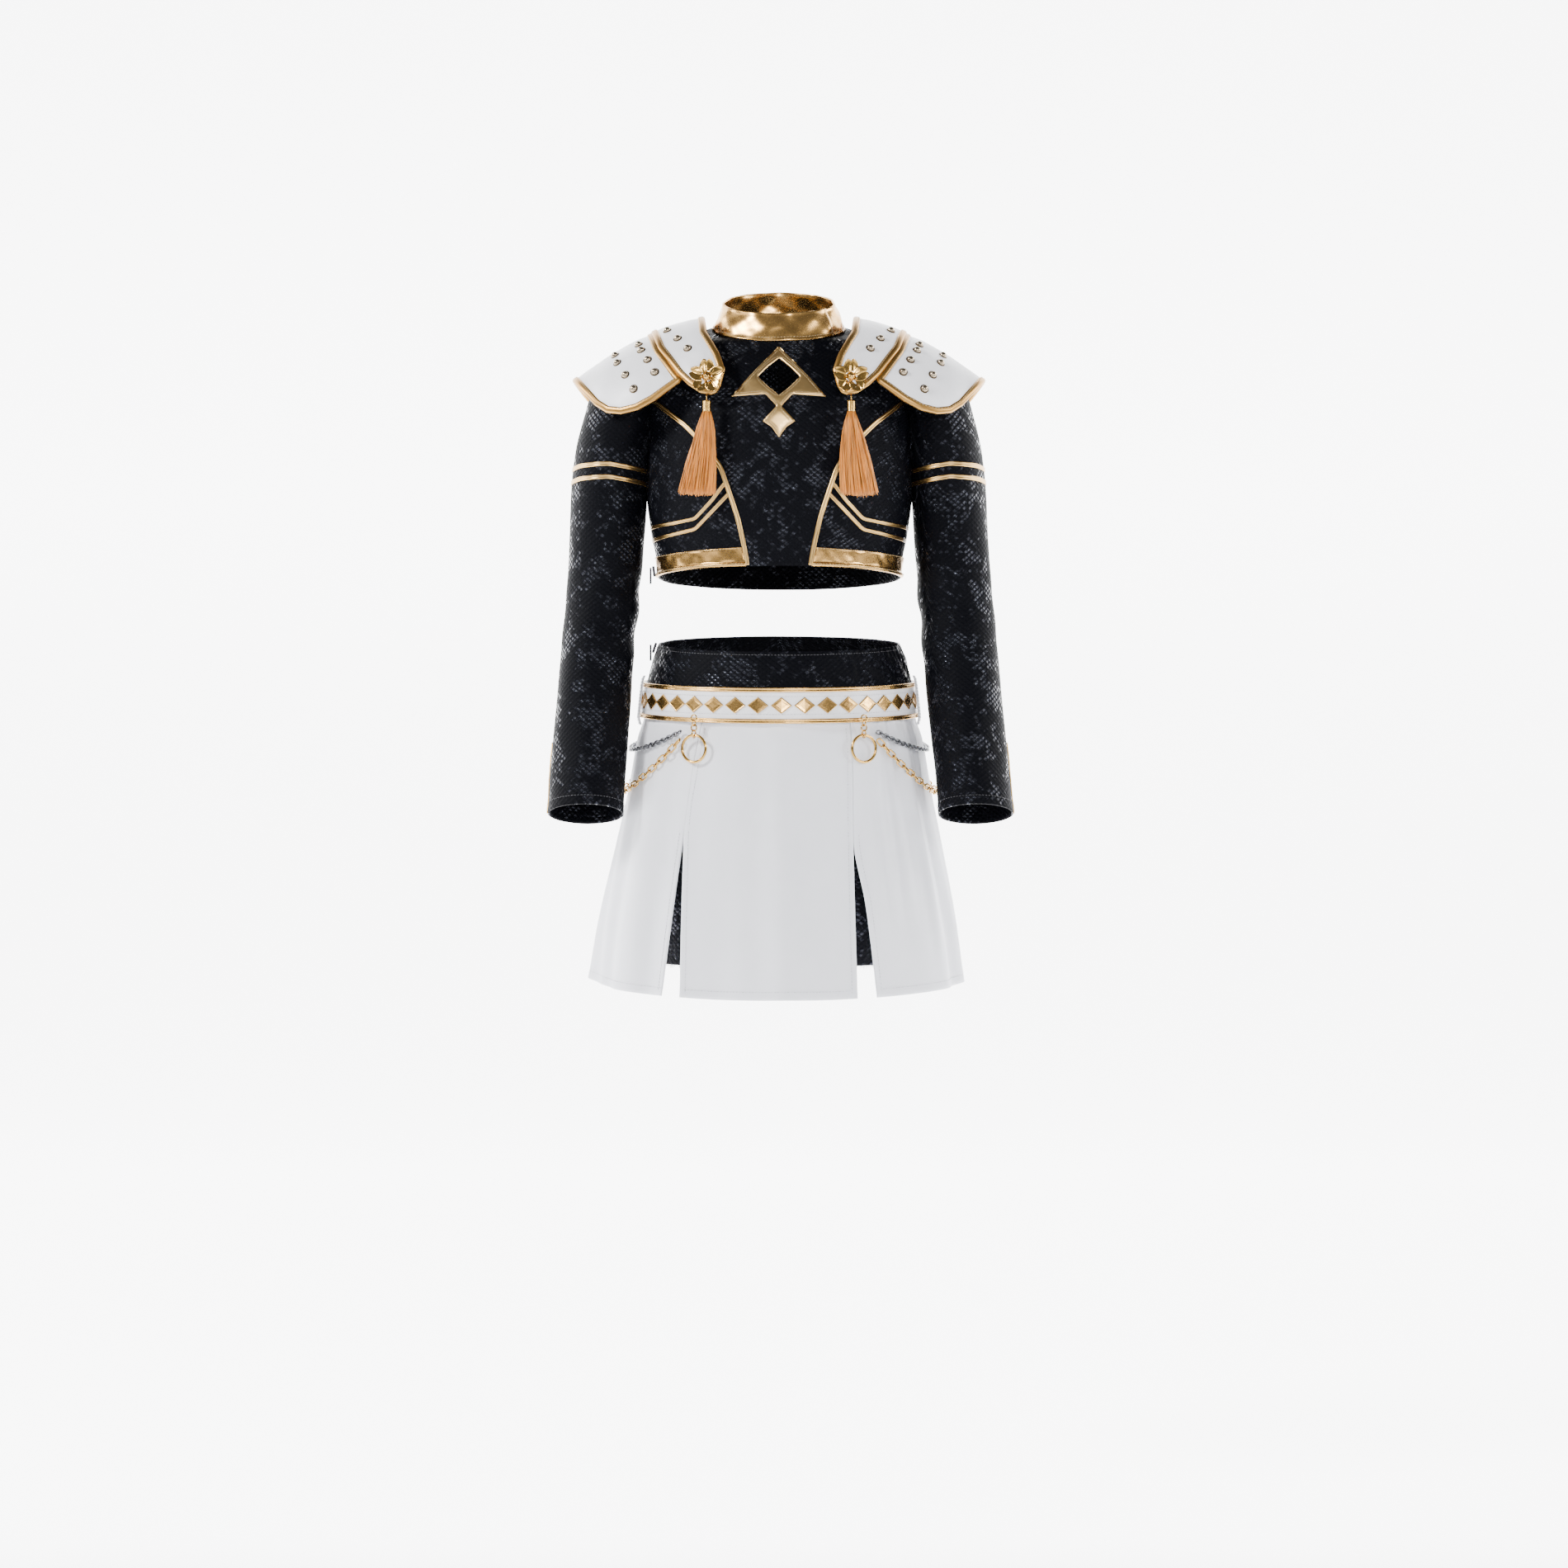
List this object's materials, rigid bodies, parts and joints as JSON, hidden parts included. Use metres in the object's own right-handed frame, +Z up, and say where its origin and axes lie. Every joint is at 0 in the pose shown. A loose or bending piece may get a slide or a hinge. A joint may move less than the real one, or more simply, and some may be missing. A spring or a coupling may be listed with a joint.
{
  "type": "cheer uniform",
  "caption": "Child's two-piece cheer uniform: cropped long-sleeved top with padded shoulder plates and tassels, and a belted slit skirt with shorts and hip chains.",
  "frame": {"origin": "middle of the wearer's waist, level with the top of the skirt's waistband at the sides", "axes": "+Z up along the wearer, -Y the wearer's front, +X the wearer's left"},
  "size_m": [0.4002, 0.2446, 0.6158],
  "materials": {
    "scale_fabric": "black knit foil-printed with small glossy diamond scales",
    "gold_fabric": "crinkled metallic gold knit",
    "gold_trim": "pale gold foiled synthetic leather, stitched",
    "white_fabric": "matte white stretch woven",
    "white_leather": "smooth white synthetic leather",
    "gold_metal": "polished pale gold plating",
    "silver_metal": "polished domed studs",
    "gunmetal": "dark plated chain",
    "gold_thread": "silky orange-gold thread",
    "zip_metal": "black enamel"
  },
  "bodies": {
    "skirt": {"waistband": "scale_fabric", "skirt_yoke": "white_fabric", "skirt_side_left": "white_fabric", "skirt_side_right": "white_fabric", "skirt_back": "white_fabric", "shorts": "scale_fabric", "belt": "white_leather", "belt_pipings": "gold_trim", "belt_diamonds": "gold_trim", "belt_loops": "white_leather", "drop_chain_left": "gold_metal", "drop_chain_right": "gold_metal"},
    "front_flap": {"skirt_flap": "white_fabric"},
    "skirt_zip": {"skirt_zip_slider": "zip_metal"},
    "skirt_zip_tab": {"skirt_zip_pull": "zip_metal"},
    "top": {"bodice_front_panel": "scale_fabric", "bodice_side_front_left": "scale_fabric", "bodice_side_front_right": "scale_fabric", "bodice_back": "scale_fabric", "collar": "gold_fabric", "chest_motif": "gold_trim", "princess_piping_left": "gold_trim", "princess_piping_right": "gold_trim", "chevrons_left": "gold_trim", "chevrons_right": "gold_trim", "hem_band_left": "gold_fabric", "hem_band_right": "gold_fabric", "shoulder_plate_inner_left": "white_leather", "shoulder_plate_inner_right": "white_leather", "shoulder_plate_outer_left": "white_leather", "shoulder_plate_outer_right": "white_leather", "plate_bindings_left": "gold_trim", "plate_bindings_right": "gold_trim", "studs_left": "silver_metal", "studs_right": "silver_metal", "flower_left": "gold_metal", "flower_right": "gold_metal", "sleeve_cap_left": "scale_fabric", "sleeve_cap_right": "scale_fabric"},
    "top_zip": {"top_zip_slider": "zip_metal"},
    "top_zip_tab": {"top_zip_pull": "zip_metal"},
    "arm_left": {"sleeve_left": "scale_fabric", "sleeve_bands_left": "gold_trim", "cuff_piping_left": "gold_trim"},
    "tassel_left": {"tassel_cap_left": "gold_metal", "tassel_fringe_left": "gold_thread"},
    "hip_ring_left": {"o_ring_left": "gold_metal"},
    "gold_chain_left": {"gold_chain_left": "gold_metal"},
    "gunmetal_chain_left": {"gunmetal_chain_left": "gunmetal"},
    "arm_right": {"sleeve_right": "scale_fabric", "sleeve_bands_right": "gold_trim", "cuff_piping_right": "gold_trim"},
    "tassel_right": {"tassel_cap_right": "gold_metal", "tassel_fringe_right": "gold_thread"},
    "hip_ring_right": {"o_ring_right": "gold_metal"},
    "gold_chain_right": {"gold_chain_right": "gold_metal"},
    "gunmetal_chain_right": {"gunmetal_chain_right": "gunmetal"}
  },
  "joints": [
    {"name": "top_lift", "type": "slide", "parent": "skirt", "child": "top", "axis": [0, 0, 1], "range_m": [0, 0.25]},
    {"name": "flap_swing", "type": "hinge", "parent": "skirt", "child": "front_flap", "pos_m": [-0.009, -0.1082, -0.1679], "axis": [-1, 0, 0], "range_deg": [0, 50]},
    {"name": "skirt_zip_slide", "type": "slide", "parent": "skirt", "child": "skirt_zip", "axis": [-0.3499, 0, -0.9368], "range_m": [0, 0.014]},
    {"name": "skirt_zip_tab_flip", "type": "hinge", "parent": "skirt_zip", "child": "skirt_zip_tab", "pos_m": [-0.1119, 0, -0.002], "axis": [0, 1, 0], "range_deg": [0, 80]},
    {"name": "top_zip_slide", "type": "slide", "parent": "top", "child": "top_zip", "axis": [-0.139, 0, 0.9903], "range_m": [0, 0.026]},
    {"name": "top_zip_tab_flip", "type": "hinge", "parent": "top_zip", "child": "top_zip_tab", "pos_m": [-0.112, 0, 0.065], "axis": [0, 1, 0], "range_deg": [0, 18]},
    {"name": "arm_raise_left", "type": "hinge", "parent": "top", "child": "arm_left", "pos_m": [0.1778, 0, 0.1652], "axis": [0, -1, 0], "range_deg": [0, 40]},
    {"name": "tassel_swing_left", "type": "hinge", "parent": "top", "child": "tassel_left", "pos_m": [0.0612, -0.085, 0.2072], "axis": [0, -0.9998, 0.0174], "range_deg": [-8, 20]},
    {"name": "hip_ring_swing_left", "type": "hinge", "parent": "skirt", "child": "hip_ring_left", "pos_m": [0.072, -0.086, -0.0832], "axis": [0.4695, -0.8829, 0], "range_deg": [-15, 8]},
    {"name": "gold_chain_swing_left", "type": "hinge", "parent": "skirt", "child": "gold_chain_left", "pos_m": [0.08448, -0.07743, -0.085], "axis": [0.0242, -0.9984, -0.0509], "range_deg": [0, 4]},
    {"name": "gunmetal_chain_swing_left", "type": "hinge", "parent": "skirt", "child": "gunmetal_chain_left", "pos_m": [0.08371, -0.07668, -0.078], "axis": [0.0219, -0.9984, -0.0513], "range_deg": [0, 12]},
    {"name": "arm_raise_right", "type": "hinge", "parent": "top", "child": "arm_right", "pos_m": [-0.1778, 0, 0.1652], "axis": [0, 1, 0], "range_deg": [0, 40]},
    {"name": "tassel_swing_right", "type": "hinge", "parent": "top", "child": "tassel_right", "pos_m": [-0.0612, -0.085, 0.2072], "axis": [0, 0.9998, -0.0174], "range_deg": [-8, 20]},
    {"name": "hip_ring_swing_right", "type": "hinge", "parent": "skirt", "child": "hip_ring_right", "pos_m": [-0.072, -0.086, -0.0832], "axis": [0.4695, 0.8829, 0], "range_deg": [-15, 8]},
    {"name": "gold_chain_swing_right", "type": "hinge", "parent": "skirt", "child": "gold_chain_right", "pos_m": [-0.08448, -0.07743, -0.085], "axis": [0.0242, 0.9984, 0.0509], "range_deg": [0, 2]},
    {"name": "gunmetal_chain_swing_right", "type": "hinge", "parent": "skirt", "child": "gunmetal_chain_right", "pos_m": [-0.08371, -0.07668, -0.078], "axis": [0.0219, 0.9984, 0.0513], "range_deg": [0, 12]}
  ]
}
